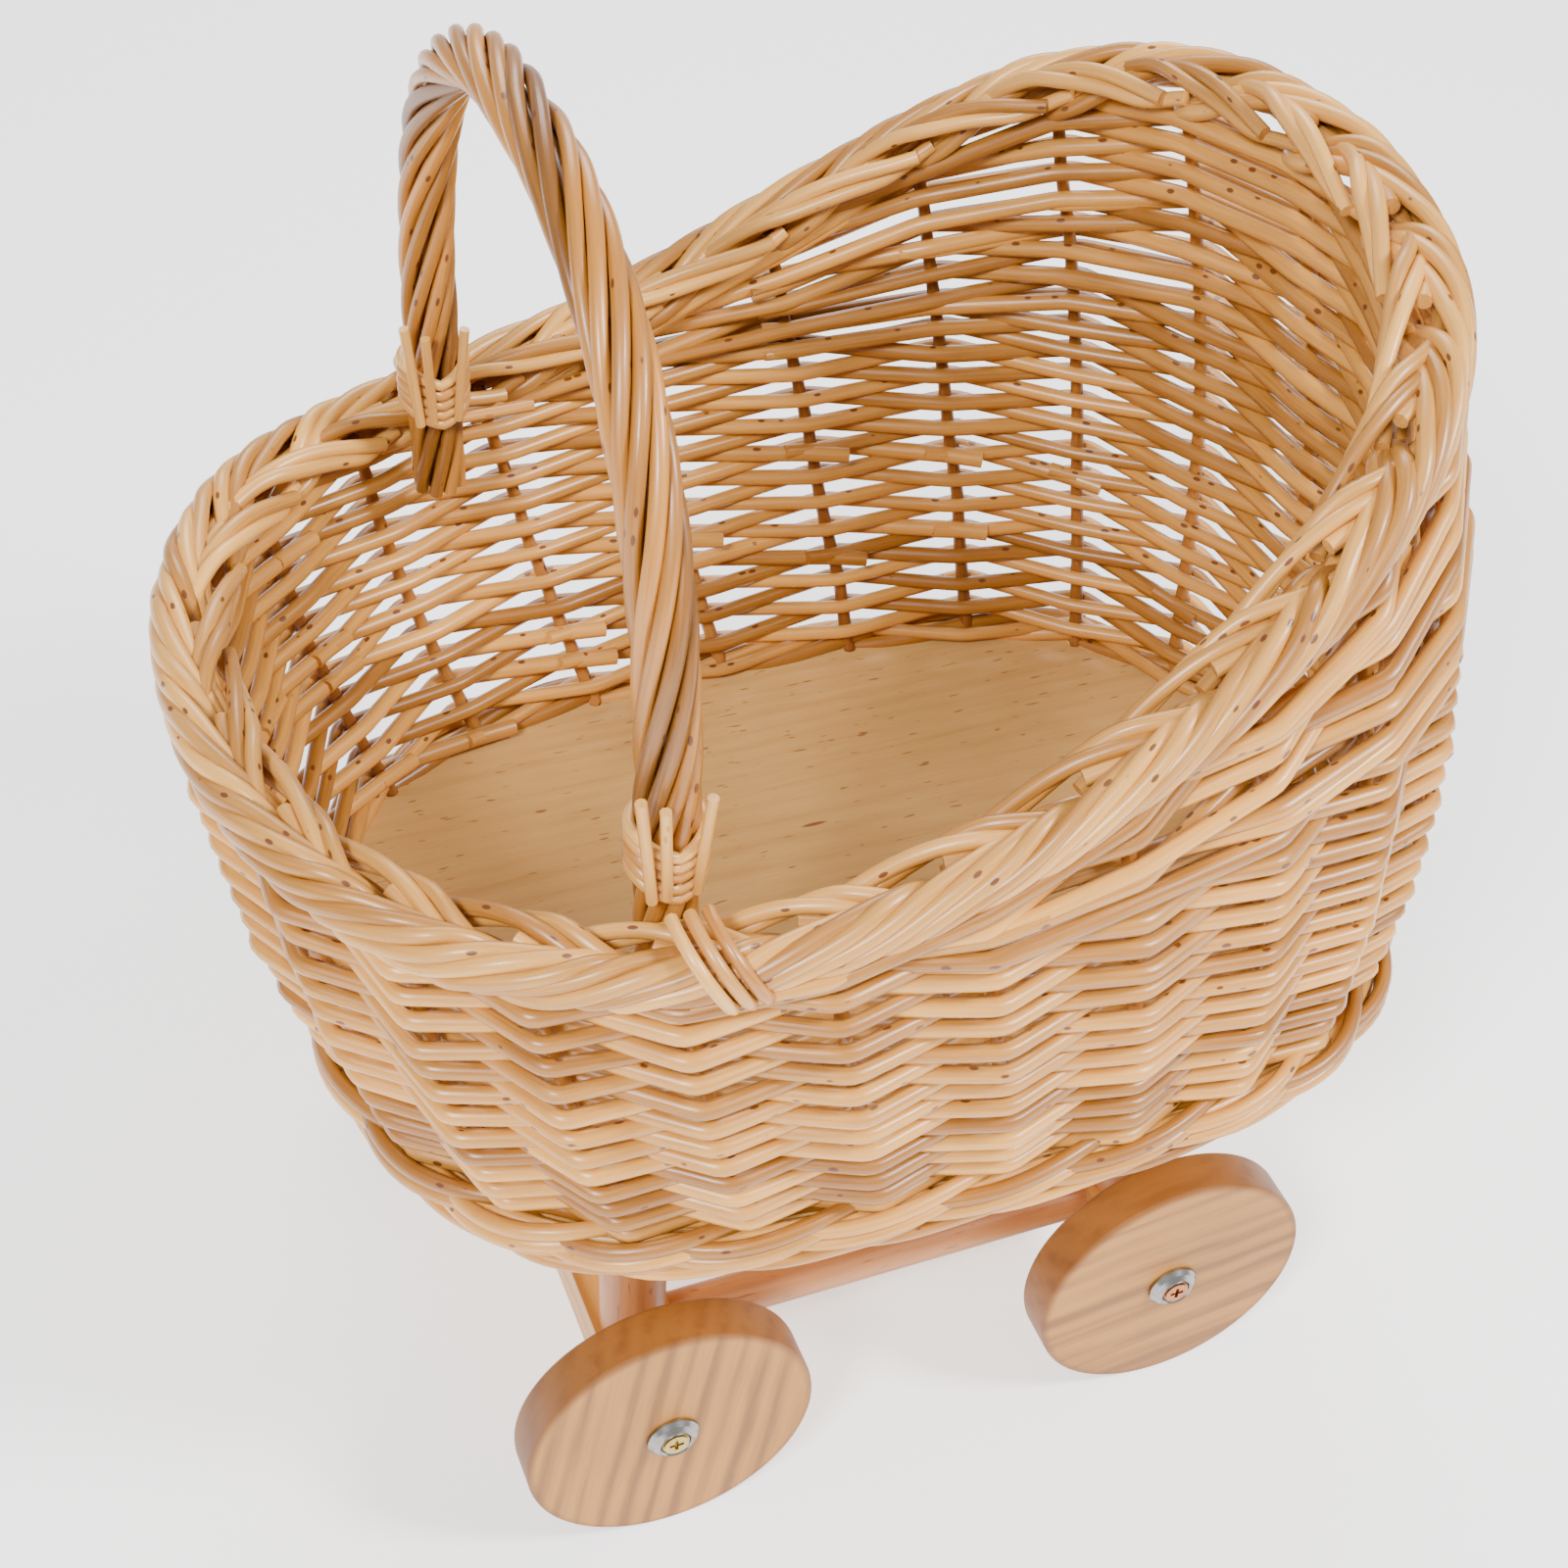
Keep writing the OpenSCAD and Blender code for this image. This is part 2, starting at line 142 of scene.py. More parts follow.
def wood(name, pale, dark, along, band_mm, roughness, tilt=(0, 0, 0), place=(0, 0, 0),
         pore="#a9743f", pores=0.35, rings=0.35):
    """Sawn or turned wood: growth bands and fine pores that run along one axis.

    The bands are rings round a line beside the piece, so they close up across its width.
    Some seasons leave a stronger band than others, so the bands are uneven."""
    material, tree, shader = new_material(name)
    coordinates = add(tree, "ShaderNodeTexCoord")
    turned = add(tree, "ShaderNodeMapping", {
        "Vector": coordinates.outputs["Object"], "Location": place, "Rotation": tilt},
        vector_type="POINT")
    bands = add(tree, "ShaderNodeTexWave", {
        "Vector": turned.outputs[0], "Scale": 2 * math.pi / (20 * band_mm * 0.001),
        "Distortion": 2.6, "Detail": 2, "Detail Scale": 0.35},
        wave_type="RINGS", rings_direction=along)

    def drawn_out(lengthwise, across):
        """The place in the wood, scaled one way along the grain and another across it."""
        scales = [lengthwise if axis == along else across for axis in "XYZ"]
        return add(tree, "ShaderNodeVectorMath", {0: turned.outputs[0], 1: scales},
                   operation="MULTIPLY").outputs[0]

    fibre = add(tree, "ShaderNodeTexNoise", {
        "Vector": drawn_out(70, 1400), "Scale": 1.0, "Detail": 4, "Roughness": 0.6})
    specks = add(tree, "ShaderNodeTexNoise", {
        "Vector": drawn_out(150, 800), "Scale": 1.0, "Detail": 1, "Roughness": 0.4})
    dark_dash = add(tree, "ShaderNodeMapRange", {
        "Value": specks.outputs["Fac"], "From Min": 0.70, "From Max": 0.75,
        "To Min": 0.0, "To Max": pores})
    cloud = add(tree, "ShaderNodeTexNoise", {
        "Vector": turned.outputs[0], "Scale": 22, "Detail": 2})
    growth = add(tree, "ShaderNodeTexNoise", {
        "Vector": drawn_out(9, 230), "Scale": 1.0, "Detail": 1, "Roughness": 0.5})
    strong = add(tree, "ShaderNodeMapRange", {
        "Value": growth.outputs["Fac"], "From Min": 0.35, "From Max": 0.65,
        "To Min": 0.15 * rings, "To Max": 1.5 * rings})
    band_share = add(tree, "ShaderNodeMath", {
        0: bands.outputs["Fac"], 1: strong.outputs[0]}, operation="MULTIPLY")
    fibre_share = add(tree, "ShaderNodeMath", {
        0: fibre.outputs["Fac"], 1: 0.45, 2: band_share.outputs[0]}, operation="MULTIPLY_ADD")
    tone = add(tree, "ShaderNodeMath", {
        0: cloud.outputs["Fac"], 1: 0.5, 2: fibre_share.outputs[0]}, operation="MULTIPLY_ADD")
    share = add(tree, "ShaderNodeMapRange", {
        "Value": tone.outputs[0], "From Min": 0.3, "From Max": 1.0})
    body = add(tree, "ShaderNodeMix", {
        "Factor": share.outputs[0], 6: linear(pale), 7: linear(dark)}, data_type="RGBA")
    marked = add(tree, "ShaderNodeMix", {
        "Factor": dark_dash.outputs[0], 6: body.outputs[2], 7: linear(pore)},
        data_type="RGBA")
    tree.links.new(marked.outputs[2], shader.inputs["Base Color"])
    shader.inputs["Roughness"].default_value = roughness
    bump = add(tree, "ShaderNodeBump", {
        "Height": fibre_share.outputs[0], "Strength": 0.25, "Distance": 0.0003})
    tree.links.new(bump.outputs[0], shader.inputs["Normal"])
    return material, tree, shader, coordinates, marked


plywood, tree, shader, coordinates, marked = wood(
    "plywood", "#dfb169", "#b38040", "X", 4.0, 0.5, place=(0, 0.05, 0.01),
    pore="#84501f", pores=0.75, rings=0.10)
fleck_middle, fleck_half = (0.0155, 0.0294, 0.124), (0.0045, 0.0008, 0.01)
fleck_place = add(tree, "ShaderNodeMapping", {
    "Vector": coordinates.outputs["Object"], "Location": fleck_middle,
    "Scale": fleck_half}, vector_type="TEXTURE")
fleck_size = add(tree, "ShaderNodeVectorMath", {0: fleck_place.outputs[0]},
                 operation="LENGTH")
fleck = add(tree, "ShaderNodeMapRange", {
    "Value": fleck_size.outputs["Value"], "From Min": 1.0, "From Max": 0.6,
    "To Max": 0.85})
streaked = add(tree, "ShaderNodeMix", {
    "Factor": fleck.outputs[0], 6: marked.outputs[2], 7: linear("#7c3a1f")},
    data_type="RGBA")
tree.links.new(streaked.outputs[2], shader.inputs["Base Color"])
finish_node("base_board", plywood)


# ---- Chassis ------------------------------------------------------------------
# Two planed pine beams lie across under the axles, joined by two beech dowels. Four
# turned beech posts stand on them and are screwed from below. All are clear varnished.
pine_beam = wood("pine_beam", "#dda458", "#a56c29", "Y", 6.0, 0.42, place=(0.02, 0, 0.03))[0]
for name in ("beam_foot", "beam_head"):
    finish_node(name, pine_beam)
beech = dict(pale="#c88a55", dark="#a06236", band_mm=5.0, roughness=0.38,
             pore="#8a4a2a", pores=0.6)
beech_post = wood("beech_post", along="Z", place=(0.03, 0.02, 0), **beech)[0]
beech_dowel = wood("beech_dowel", along="X", place=(0, 0.03, 0.02), **beech)[0]
for end in ("foot", "head"):
    for side in ("near", "far"):
        finish_node(f"post_{end}_{side}", beech_post)
for side in ("near", "far"):
    finish_node(f"stretcher_{side}", beech_dowel)


# ---- Wheels -------------------------------------------------------------------
# Each wheel is turned from a pine plank, so its face shows straight growth bands, at a
# different slant on every wheel, and its tread is darker where the end grain drinks in.
tread_starts, tread_full = 0.0375, 0.0398     # metres out from the wheel's middle
wheel_grain = {"wheel_foot_near": 80, "wheel_foot_far": 20,
               "wheel_head_near": 8, "wheel_head_far": 55}
for name, slant in wheel_grain.items():
    low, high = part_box(name)
    middle = (low + high) / 2
    turn = math.radians(slant)
    material, tree, shader, coordinates, marked = wood(
        "pine_" + name, "#b97d30", "#825216", "X", 6.5, 0.5,
        tilt=(0, turn, 0), place=(0, -middle.y + 0.035, 0), pore="#a06a38", pores=0.3,
        rings=0.42)
    hub = add(tree, "ShaderNodeMapping", {
        "Vector": coordinates.outputs["Object"], "Location": middle}, vector_type="TEXTURE")
    flat = add(tree, "ShaderNodeVectorMath", {0: hub.outputs[0], 1: (1, 0, 1)},
               operation="MULTIPLY")
    reach = add(tree, "ShaderNodeVectorMath", {0: flat.outputs[0]}, operation="LENGTH")
    tread = add(tree, "ShaderNodeMapRange", {
        "Value": reach.outputs["Value"], "From Min": tread_starts, "From Max": tread_full,
        "To Max": 0.75})
    worn = add(tree, "ShaderNodeMix", {
        "Factor": tread.outputs[0], 6: marked.outputs[2], 7: linear("#6c3a0c")},
        data_type="RGBA")
    tree.links.new(worn.outputs[2], shader.inputs["Base Color"])
    finish_node(name, material)


# ---- Screws and washers ---------------------------------------------------------
# Pressed cup washers in dull nickel plate. The foot-end screws are yellow zinc plated
# and the head-end ones have a warmer, copper-like passivation; all have a cross recess.
def plated(name, first, second=None, roughness=0.28):
    """Plated steel with a faint mottle; "second" colours the head end of the object."""
    material, tree, shader = new_material(name)
    coordinates = add(tree, "ShaderNodeTexCoord")
    mottle = add(tree, "ShaderNodeTexNoise", {
        "Vector": coordinates.outputs["Object"], "Scale": 900, "Detail": 3})
    colour = add(tree, "ShaderNodeMix", {
        "Factor": mottle.outputs["Fac"], 6: linear(first[0]), 7: linear(first[1])},
        data_type="RGBA")
    if second:
        warm = add(tree, "ShaderNodeMix", {
            "Factor": mottle.outputs["Fac"], 6: linear(second[0]), 7: linear(second[1])},
            data_type="RGBA")
        parts = add(tree, "ShaderNodeSeparateXYZ", {0: coordinates.outputs["Object"]})
        head = add(tree, "ShaderNodeMath", {0: parts.outputs["X"], 1: 0.0},
                   operation="GREATER_THAN")
        colour = add(tree, "ShaderNodeMix", {
            "Factor": head.outputs[0], 6: colour.outputs[2], 7: warm.outputs[2]},
            data_type="RGBA")
    tree.links.new(colour.outputs[2], shader.inputs["Base Color"])
    rough = add(tree, "ShaderNodeMapRange", {
        "Value": mottle.outputs["Fac"], "To Min": roughness - 0.06, "To Max": roughness + 0.1})
    tree.links.new(rough.outputs[0], shader.inputs["Roughness"])
    shader.inputs["Metallic"].default_value = 1
    return material


finish_node("cup_washers", plated("nickel_plate", ("#a5a4a1", "#7f7e7b")))
screw_plate = plated("zinc_plate", ("#c9b574", "#a08848"), ("#c48a5e", "#9a5f3c"), 0.32)
finish_node("wheel_screws", screw_plate)
finish_node("post_screws", plated("yellow_zinc", ("#dccb90", "#b8a262"), roughness=0.34))


# ---- Basket: peeled willow ------------------------------------------------------
# Buff willow rods, boiled, peeled and lacquered: pale straw to light tan, each rod a
# little different, with a satin skin, fine lengthwise fibres and small brown bud scars.
def willow(name, pale, dark, scar="#5a2608", gleam=0.36, scars=1.0):
    """Peeled willow that reads where it is on its own rod from the rod's attributes."""
    material, tree, shader = new_material(name)
    rod = add(tree, "ShaderNodeAttribute", attribute_name="rod").outputs["Fac"]
    along = add(tree, "ShaderNodeAttribute", attribute_name="along").outputs["Fac"]
    around = add(tree, "ShaderNodeAttribute", attribute_name="around").outputs["Vector"]
    apart = add(tree, "ShaderNodeMath", {0: rod, 1: 9.0, 2: along}, operation="MULTIPLY_ADD")
    axis = add(tree, "ShaderNodeCombineXYZ", {"Z": apart.outputs[0]})
    skin = add(tree, "ShaderNodeVectorMath", {
        0: around, 1: (0.002, 0.002, 0.002), 2: axis.outputs[0]}, operation="MULTIPLY_ADD")
    fine = add(tree, "ShaderNodeVectorMath", {0: skin.outputs[0], 1: (1100, 1100, 45)},
               operation="MULTIPLY")
    fibre = add(tree, "ShaderNodeTexNoise", {
        "Vector": fine.outputs[0], "Scale": 1.0, "Detail": 3, "Roughness": 0.6})
    broad = add(tree, "ShaderNodeVectorMath", {0: skin.outputs[0], 1: (250, 250, 22)},
                operation="MULTIPLY")
    stain = add(tree, "ShaderNodeTexNoise", {
        "Vector": broad.outputs[0], "Scale": 1.0, "Detail": 2, "Roughness": 0.5})
    spread = add(tree, "ShaderNodeMath", {0: rod, 1: 0.95}, operation="MULTIPLY")
    tone = add(tree, "ShaderNodeMath", {
        0: stain.outputs["Fac"], 1: 0.75, 2: spread.outputs[0]}, operation="MULTIPLY_ADD")
    tone = add(tree, "ShaderNodeMath", {
        0: fibre.outputs["Fac"], 1: 0.75, 2: tone.outputs[0]}, operation="MULTIPLY_ADD")
    share = add(tree, "ShaderNodeMapRange", {
        "Value": tone.outputs[0], "From Min": 0.7, "From Max": 1.65})
    body = add(tree, "ShaderNodeMix", {
        "Factor": share.outputs[0], 6: linear(pale), 7: linear(dark)}, data_type="RGBA")
    dots = add(tree, "ShaderNodeVectorMath", {0: skin.outputs[0], 1: (330, 330, 150)},
               operation="MULTIPLY")
    spots = add(tree, "ShaderNodeTexVoronoi", {
        "Vector": dots.outputs[0], "Scale": 1.0, "Randomness": 1.0}, feature="F1")
    few = add(tree, "ShaderNodeSeparateColor", {0: spots.outputs["Color"]})
    chosen = add(tree, "ShaderNodeMath", {0: few.outputs[0], 1: 0.62},
                 operation="GREATER_THAN")
    small = add(tree, "ShaderNodeMapRange", {
        "Value": spots.outputs["Distance"], "From Min": 0.21, "From Max": 0.16,
        "To Max": 0.9 * scars})
    scar_here = add(tree, "ShaderNodeMath", {0: small.outputs[0], 1: chosen.outputs[0]},
                    operation="MULTIPLY")
    marked = add(tree, "ShaderNodeMix", {
        "Factor": scar_here.outputs[0], 6: body.outputs[2], 7: linear(scar)},
        data_type="RGBA")
    tree.links.new(marked.outputs[2], shader.inputs["Base Color"])
    rough = add(tree, "ShaderNodeMapRange", {
        "Value": stain.outputs["Fac"], "To Min": gleam - 0.06, "To Max": gleam + 0.12})
    tree.links.new(rough.outputs[0], shader.inputs["Roughness"])
    shader.inputs["IOR"].default_value = 1.5
    shader.inputs["Coat Weight"].default_value = 0.3
    shader.inputs["Coat Roughness"].default_value = 0.24
    bump = add(tree, "ShaderNodeBump", {
        "Height": fibre.outputs["Fac"], "Strength": 0.5, "Distance": 0.0003})
    tree.links.new(bump.outputs[0], shader.inputs["Normal"])
    return material


buff_willow = willow("buff_willow", "#e6a54c", "#99611d")
pale_willow = willow("pale_willow", "#eaad56", "#a06824")
handle_willow = willow("handle_willow", "#c28030", "#744610")
brown_willow = willow("brown_willow", "#c07f38", "#80491a")


def rod_tree():
    """Sweeps middle lines into round rods, as thick as each point's own thickness."""
    tree = bpy.data.node_groups.new("willow_rod", "GeometryNodeTree")
    faces = tree.interface
    faces.new_socket("Lines", in_out="INPUT", socket_type="NodeSocketGeometry")
    faces.new_socket("Sides", in_out="INPUT", socket_type="NodeSocketInt")
    faces.new_socket("Material", in_out="INPUT", socket_type="NodeSocketMaterial")
    faces.new_socket("Rods", in_out="OUTPUT", socket_type="NodeSocketGeometry")
    given = add(tree, "NodeGroupInput").outputs
    curves = add(tree, "GeometryNodeMeshToCurve", {"Mesh": given["Lines"]})
    thickness = add(tree, "GeometryNodeInputNamedAttribute", {"Name": "thickness"},
                    data_type="FLOAT")
    circle = add(tree, "GeometryNodeCurvePrimitiveCircle", {
        "Resolution": given["Sides"], "Radius": 1.0}, mode="RADIUS")
    place = add(tree, "GeometryNodeInputPosition")
    marked = add(tree, "GeometryNodeStoreNamedAttribute", {
        "Geometry": circle.outputs[0], "Name": "around", "Value": place.outputs[0]},
        data_type="FLOAT_VECTOR", domain="POINT")
    swept = add(tree, "GeometryNodeCurveToMesh", {
        "Curve": curves.outputs[0], "Profile Curve": marked.outputs[0],
        "Scale": thickness.outputs[0], "Fill Caps": True})
    smooth = add(tree, "GeometryNodeSetShadeSmooth", {"Geometry": swept.outputs[0]})
    real = add(tree, "GeometryNodeRealizeInstances", {"Geometry": smooth.outputs[0]})
    dressed = add(tree, "GeometryNodeSetMaterial", {
        "Geometry": real.outputs[0], "Material": given["Material"]})
    add(tree, "NodeGroupOutput", {"Rods": dressed.outputs[0]})
    return tree


willow_rod = rod_tree()
mm = 0.001
chance = random.Random(24)


def make_rods(name, rods, material, sides=8):
    """Turns a list of rods, each (points in mm, radii in mm), into one mesh object."""
    places, edges, thickness, along, which = [], [], [], [], []
    for points, radii in rods:
        first = len(places)
        points = np.asarray(points, float) * mm
        steps = np.linalg.norm(np.diff(points, axis=0), axis=1)
        places.extend(points.tolist())
        edges.extend((first + i, first + i + 1) for i in range(len(points) - 1))
        thickness.extend(np.broadcast_to(np.asarray(radii, float) * mm, len(points)))
        along.extend(np.concatenate([[0], np.cumsum(steps)]))
        which.extend([chance.random()] * len(points))
    mesh = bpy.data.meshes.new(name)
    mesh.from_pydata(places, edges, [])
    for key, values in (("thickness", thickness), ("along", along), ("rod", which)):
        attribute = mesh.attributes.new(key, "FLOAT", "POINT")
        attribute.data.foreach_set("value", np.array(values, np.float32))
    lines = bpy.data.objects.new(name + "_lines", mesh)
    bpy.context.scene.collection.objects.link(lines)
    modifier = lines.modifiers.new("rods", "NODES")
    modifier.node_group = willow_rod
    sockets = {item.name: item.identifier for item in willow_rod.interface.items_tree
               if item.in_out == "INPUT"}
    modifier[sockets["Sides"]] = sides
    modifier[sockets["Material"]] = material
    graph = bpy.context.evaluated_depsgraph_get()
    swept = bpy.data.meshes.new_from_object(
        lines.evaluated_get(graph), preserve_all_data_layers=True, depsgraph=graph)
    swept.name = name
    swept.set_sharp_from_angle(angle=math.radians(65))
    piece = bpy.data.objects.new(name, swept)
    bpy.context.scene.collection.objects.link(piece)
    bpy.data.objects.remove(lines)
    return piece


def belongs(piece, slot, *replaced):
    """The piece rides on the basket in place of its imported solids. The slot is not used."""
    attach(piece, "basket")
    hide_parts(*replaced)


# ---- Basket: stakes ---------------------------------------------------------------
# Twenty-four stakes stand round the board. Everything else is woven in and out of them,
# so the functions here give the basket's shape for all the willow that follows, in mm.
stakes_n = 24
stake_crowd = 6.9
base_top, level_top = 124, 222
border_h = 16
base_oval = dict(half_l=143, half_w=101.5, square=0.4, x=14)
rim_oval = dict(half_l=141, half_w=116.5, square=0.27, x=-12)


def stake_angle(i):
    """Angle round the basket at stake i; i need not be a whole number."""
    turn = np.radians(360 * np.asarray(i, float) / stakes_n)
    return turn - np.radians(stake_crowd) * np.cos(turn)


def rim_height(c):
    """Height of the middle of the border, from c = -1 at the foot to 1 at the head."""
    return 250 + 58 * c + 53 * c ** 2 - 10 * c ** 3 - 18 * c ** 4


def oval(turn, out, half_l, half_w, square, x):
    """A point of a squarish oval, grown by "out" all round."""
    return np.stack([x + (half_l + out) * np.cos(turn),
                     (half_w + out) * np.sin(turn) * (1 + square * np.cos(turn) ** 2)], -1)


def wall_top(turn):
    return rim_height(np.cos(turn)) - border_h / 2


def wall(turn, z, out):
    """A point of the wall at a height, "out" from its middle surface."""
    turn, z, out = np.broadcast_arrays(
        np.asarray(turn, float), np.asarray(z, float), np.asarray(out, float))
    share = (z - base_top) / (wall_top(turn) - base_top)
    swell = 6 * np.sin(turn) ** 2 + np.where(np.cos(turn) > 0, 12, 4) * np.cos(turn) ** 2
    out = out + swell * np.sin(np.pi * np.clip(share, 0, 1))
    low = oval(turn, out, **base_oval)
    high = oval(turn, out + 3, **rim_oval)
    share = share[..., None]
    return np.concatenate([low * (1 - share) + high * share, z[..., None]], -1)


stakes = []
for i in range(stakes_n):
    turn = stake_angle(i)
    heights = np.linspace(base_top - 10, wall_top(turn) + 2, 10)
    leans = np.array([chance.gauss(0, 0.35) for _ in heights])
    stakes.append((wall(turn + leans * 0.006, heights, leans * 0.4),
                   np.linspace(2.1, 1.8, 10)))
belongs(make_rods("upright_stakes", stakes, brown_willow), "willow", "stakes")


# ---- Basket: level weaving -----------------------------------------------------------
# Weavers pass before one stake and behind the next, and the row above does the opposite.
# Each bends sharply round its stake and runs straight to the next; butts lie inside.
rows_n = 22
row_pitch = (level_top - base_top - 2) / rows_n
sway = 4.9
bends = np.array([0, 0.05, 0.11, 0.2, 0.35, 0.5, 0.65, 0.8, 0.89, 0.95])


def weaver(first, last, height, side, butt, tip, ease=2):
    """A rod woven from stake first to stake last, and a little past both."""
    knots = []
    for i in range(first, last + 1):
        knots.append(wall(stake_angle(i), height(i) + chance.gauss(0, 0.35),
                          side(i) * (sway + chance.gauss(0, 0.3))))
    knots = np.array(knots)
    points = [knots[i] + (knots[i + 1] - knots[i]) * t
              for i in range(len(knots) - 1) for t in bends]
    points = np.array(points + [knots[-1]])
    before = knots[0] - (knots[1] - knots[0]) * 0.24 + [0, 0, -0.8]
    after = knots[-1] + (knots[-1] - knots[-2]) * 0.18 + [0, 0, 1.2]
    points = np.concatenate([[before], points, [after]])
    for _ in range(ease):
        points[1:-1] = (points[:-2] + 2 * points[1:-1] + points[2:]) / 4
    return points, np.linspace(butt, tip, len(points))


level_rows = []
for row in range(rows_n):
    z = base_top + 2 + (row + 0.5) * row_pitch
    start = chance.randrange(stakes_n)
    start += (start + row) % 2
    level_rows.append(weaver(start, start + stakes_n, lambda i: z,
                             lambda i: 1 if (i + row) % 2 else -1,
                             chance.uniform(2.35, 2.65), chance.uniform(1.95, 2.2)))
belongs(make_rods("level_weaving", level_rows, buff_willow), "willow", "side_weave")


# ---- Basket: packed head -----------------------------------------------------------
# Above the level rows thicker rods are packed in: each one fills the wedge between the
# level weaving and the rising rim, and stops where there is no more room for it.
pack_pitch = 4.25
packed_n = int((wall_top(0) - level_top) / pack_pitch)


def turn_in(count):
    """Numbers 1 to count in an order that spreads early ones over the whole list."""
    order = sorted(range(count), key=lambda n: int(f"{n:06b}"[::-1], 2))
    rank = [0] * count
    for place, n in enumerate(order):
        rank[n] = place + 1
    return rank


packing = turn_in(packed_n)
room = np.array([(wall_top(stake_angle(i)) - level_top) / pack_pitch
                 for i in range(stakes_n)])
share = np.array([np.clip(room - rank + 1, 0, 1) for rank in packing])
middles = np.cumsum(share, axis=0) - share / 2
below = rows_n + np.cumsum(share > 0.5, axis=0) - (share > 0.5)
head_rows = []
for row in range(packed_n):
    here = share[row] > 0.05

    def height(i, row=row):
        return level_top + pack_pitch * middles[row][i % stakes_n]

    def side(i, row=row):
        return 1 if (i + below[row][i % stakes_n]) % 2 else -1

    if here.all():
        start = chance.randrange(stakes_n)
        while side(start) > 0:
            start += 1
        runs = [(start, start + stakes_n)]
    else:
        runs = []
        for begin in (i for i in range(stakes_n) if here[i] and not here[i - 1]):
            end = begin
            while here[(end + 1) % stakes_n]:
                end += 1
            begin, end = begin - 1, end + 1
            while side(begin) > 0:
                begin -= 1
            while side(end) > 0:
                end += 1
            runs.append((begin, end))
    for begin, end in runs:
        points, radii = weaver(begin, end, height, side, chance.uniform(2.4, 2.8),
                               chance.uniform(2.1, 2.3))
        if not here.all():
            tail = np.minimum(np.arange(len(radii)), np.arange(len(radii))[::-1])
            radii = radii * np.interp(tail, [0, 14], [0.72, 1])
        head_rows.append((points, radii if chance.random() < 0.5 else radii[::-1]))
belongs(make_rods("packed_weaving", head_rows, buff_willow), "willow", "head_weave")


# ---- Basket: base wale and foot border -----------------------------------------------
# Two wales of three twisted rods, with two plain rounds among them, hide the board's edge.
# Below, the stake ends are bent sideways, behind one stake and before two: the foot.
wale = []
for layer, z in enumerate((120.6, 125.2)):
    for rod in range(3):
        q = np.linspace(rod + layer, rod + layer + stakes_n, stakes_n * 8 + 1)
        beat = ((q - rod) / 3) % 1
        outward = 1.8 + 4.6 * np.cos(2 * np.pi * (beat - 0.33))
        lift = 2.2 * np.sin(2 * np.pi * (beat - 0.33))
        turn = stake_angle(q)
        points = np.concatenate([oval(turn, outward + 2.4, **base_oval),
                                 (z + lift)[:, None]], -1)
        wale.append((points, np.linspace(2.5, 2.0, len(q))))
ring = stake_angle(np.linspace(0, stakes_n, stakes_n * 6 + 1))
for z, outward in ((123.6, 4.4), (119.4, 4.8)):
    wale.append((np.concatenate([oval(ring, outward, **base_oval),
                                 np.full((len(ring), 1), z)], -1), 2.3))
belongs(make_rods("base_wale_rods", wale, buff_willow), "willow", "base_wale")

foot = []
for i in range(stakes_n):
    reach = np.linspace(0, 3.7, 32)
    outward = np.interp(reach, [0, 0.6, 1.2, 1.8, 2.9, 3.7], [0, -4.5, -1, 4.6, 4.8, -1])
    drop = np.interp(reach, [0, 0.6, 1.4, 2.6, 3.7], [1, -2.5, -2.6, -6.2, -7.2])
    for _ in range(3):
        outward[1:-1] = (outward[:-2] + 2 * outward[1:-1] + outward[2:]) / 4
        drop[1:-1] = (drop[:-2] + 2 * drop[1:-1] + drop[2:]) / 4
    turn = stake_angle(i - reach)
    points = np.concatenate([oval(turn, outward, **base_oval),
                             (base_top - 6 + drop)[:, None]], -1)
    foot.append((points, np.linspace(2.3, 1.9, 32)))
belongs(make_rods("foot_border_rods", foot, buff_willow), "willow", "foot_border")


# ---- Basket: plaited border ------------------------------------------------------------
# Three rods from each stake plait with the next stakes' rods: from under the middle over
# to the outer edge, back underneath, and over to the inner edge, where they are cut off.
border_reach, border_dome = 8.2, 2.6
over_under, rod_gap = 4.2, 3.7
plait_stakes = 4.4                    # stake spaces that one plait takes along the rim
plait_start = -0.25 * np.pi
plait_ends = [1.20 * np.pi, 1.56 * np.pi, 1.66 * np.pi]
leave_stakes, stake_drop = 0.6, 10    # how a rod comes up from its stake into the plait

beat = np.linspace(plait_start - 0.5 * np.pi, 2 * np.pi, 400)
across_line = border_reach * np.sin(beat)
rise_line = (over_under * np.sin(2 * beat) + border_dome * np.cos(
    across_line / border_reach * np.pi / 2) - 1.0)
turned = np.concatenate([[0], np.cumsum(np.hypot(np.diff(across_line), np.diff(rise_line)))])
border = []
for i in range(stakes_n):
    for rod in range(3):
        last = plait_ends[rod] + chance.gauss(0, 0.06)
        here = np.linspace(plait_start, last, 60)
        ahead = np.interp(here, beat, turned) + rod_gap * (rod - 1)
        u = np.interp(ahead, turned, across_line) + chance.gauss(0, 0.2)
        v = np.interp(ahead, turned, rise_line) + chance.gauss(0, 0.2)
        away = (here - plait_start) / (2 * np.pi) * plait_stakes
        leave = np.clip(1 - away / leave_stakes, 0, 1) ** 2
        u = u * (1 - leave)
        v = v * (1 - leave) - stake_drop * leave
        turn = stake_angle(i - away)
        points = np.concatenate([oval(turn, u, **rim_oval),
                                 (rim_height(np.cos(turn)) + v)[:, None]], -1)
        border.append((points, np.linspace(2.2, 1.9, 60) * chance.uniform(0.93, 1.08)))
belongs(make_rods("plaited_border", border, pale_willow, sides=10), "willow", "rim_border")


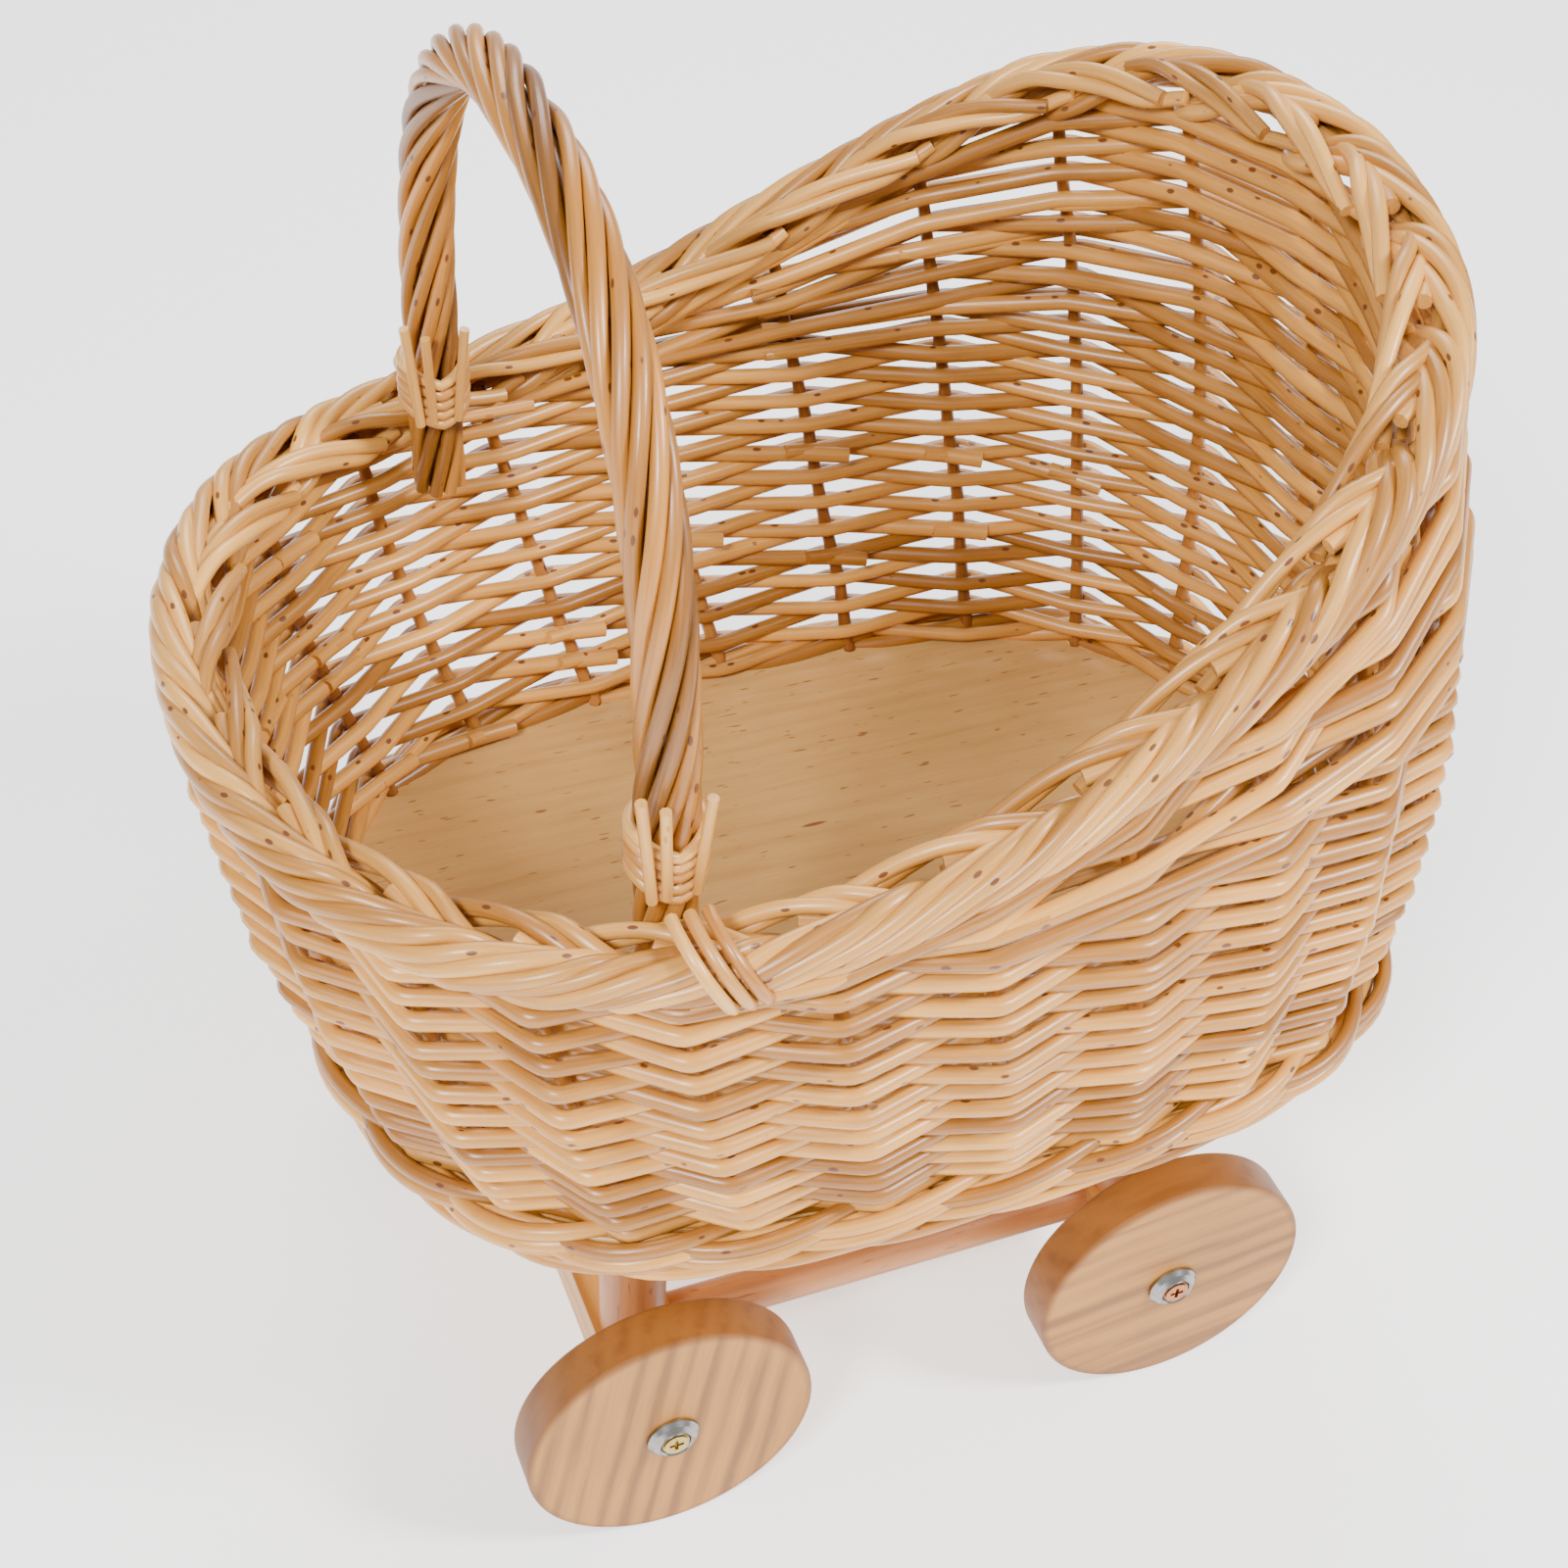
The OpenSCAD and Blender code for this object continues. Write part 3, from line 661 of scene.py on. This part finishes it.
# ---- Handle --------------------------------------------------------------------------
# A thick bent rod carries the handle. Eight thinner ones are twisted round it like a
# rope from one side of the basket to the other, and their ends are pushed down the wall.
handle_x, handle_b, handle_foot = -73, 92.4, 220
arch_z, arch_h, arch_n = 269, 105.5, 2.34
core_d, rod_d = 6.4, 3.8
rods_n, rod_turns = 8, 3.2

limb = np.linspace(handle_foot, arch_z, 14)[:-1]
bow = np.radians(np.linspace(0, 180, 121))
arch_y = -np.sign(np.cos(bow)) * handle_b * np.abs(np.cos(bow)) ** (2 / arch_n)
arch_up = arch_z + arch_h * np.sin(bow) ** (2 / arch_n)
path_y = np.concatenate([np.full(13, -handle_b), arch_y, np.full(13, handle_b)])
path_z = np.concatenate([limb, arch_up, limb[::-1]])
raw = np.stack([np.full(len(path_y), handle_x), path_y, path_z], -1)
run = np.concatenate([[0], np.cumsum(np.linalg.norm(np.diff(raw, axis=0), axis=1))])
even = np.linspace(0, run[-1], 160)
handle_line = np.stack([np.interp(even, run, raw[:, k]) for k in range(3)], -1)
belongs(make_rods("handle_core_rod", [(handle_line, core_d / 2)], brown_willow, sides=12),
        "willow", "handle_core")

way = np.gradient(handle_line, axis=0)
way /= np.linalg.norm(way, axis=1)[:, None]
front = np.array([1.0, 0, 0])
aside = np.cross(way, front)
rope = []
for rod in range(rods_n):
    thick = rod_d / 2 * chance.uniform(0.92, 1.1)
    lay = core_d / 2 + rod_d / 2 + 0.25
    wander = np.interp(even, np.linspace(0, even[-1], 9),
                       [chance.gauss(0, 0.07) for _ in range(9)])
    twist = 2 * np.pi * (rod_turns * even / even[-1] + rod / rods_n) + wander
    points = handle_line + lay * (np.cos(twist)[:, None] * front
                                  + np.sin(twist)[:, None] * aside)
    rope.append((points, thick * np.linspace(1.05, 0.95, len(even))))
belongs(make_rods("handle_rope", rope, handle_willow, sides=10), "willow", "handle_rods")


# ---- Bindings ------------------------------------------------------------------------
# Split willow skeins hold each handle limb to the border: five close turns round the
# limb, three straps down over the border, and the cut ends left standing.
skein_willow = willow("skein_willow", "#e8b05e", "#ad6c28", scars=0.5, gleam=0.3)
turns_n, turn_pitch = 5, 3.0
first_turn, turn_dip = 4.6, -4.0      # above the border, and how far each turn dips in front
strap_gap, strap_reach = 4.2, 11.5 + 1.4
skein_r = 1.45
wrap_r = core_d / 2 + rod_d + 1.1
for side, sign in (("near", -1), ("far", 1)):
    c = (handle_x - rim_oval["x"]) / rim_oval["half_l"]
    rim_turn = sign * math.acos(c)
    rim_here = oval(rim_turn, 0, **rim_oval)
    z_here = rim_height(c)
    skeins = []
    for k in range(turns_n):
        ring = np.linspace(0, 2 * np.pi, 41)
        level = z_here + border_h / 2 + first_turn + k * turn_pitch
        from_front = np.abs(ring - 1.5 * np.pi) / np.radians(70)
        dip = turn_dip * np.clip(1 - from_front, 0, 1)
        points = np.stack([handle_x + wrap_r * np.cos(ring),
                           sign * handle_b + wrap_r * np.sin(ring),
                           level + dip + chance.gauss(0, 0.2)], -1)
        skeins.append((points, skein_r))
    for shift in (-strap_gap, 0, strap_gap):
        sweep = np.radians(np.linspace(105, -50, 24))
        points = np.stack([
            handle_x + shift + 6 * (1 - np.sin(sweep)),
            sign * (abs(rim_here[1]) + strap_reach * np.cos(sweep)),
            z_here + (border_h / 2 + 2.6) * np.sin(sweep)], -1)
        skeins.append((points, skein_r * 1.1))
    for shift, tall in ((-7.5, 31), (-3.2, 27), (5.0, 28)):
        start = np.array([handle_x + shift * 0.8, sign * handle_b - 8.2, z_here + 10])
        lean = np.array([shift * 0.45, -2.2, tall])
        points = start + np.linspace(0, 1, 8)[:, None] * lean
        skeins.append((points, 1.35))
    if side == "far":
        tail = np.linspace(0, 1, 8)[:, None] * np.array([19, -3, 2.0])
        skeins.append((tail + [handle_x + 5, sign * handle_b - 7.4, z_here + 9.5], 1.5))
    belongs(make_rods("binding_" + side, skeins, skein_willow, sides=8), "skein",
            "handle_binding_" + side)
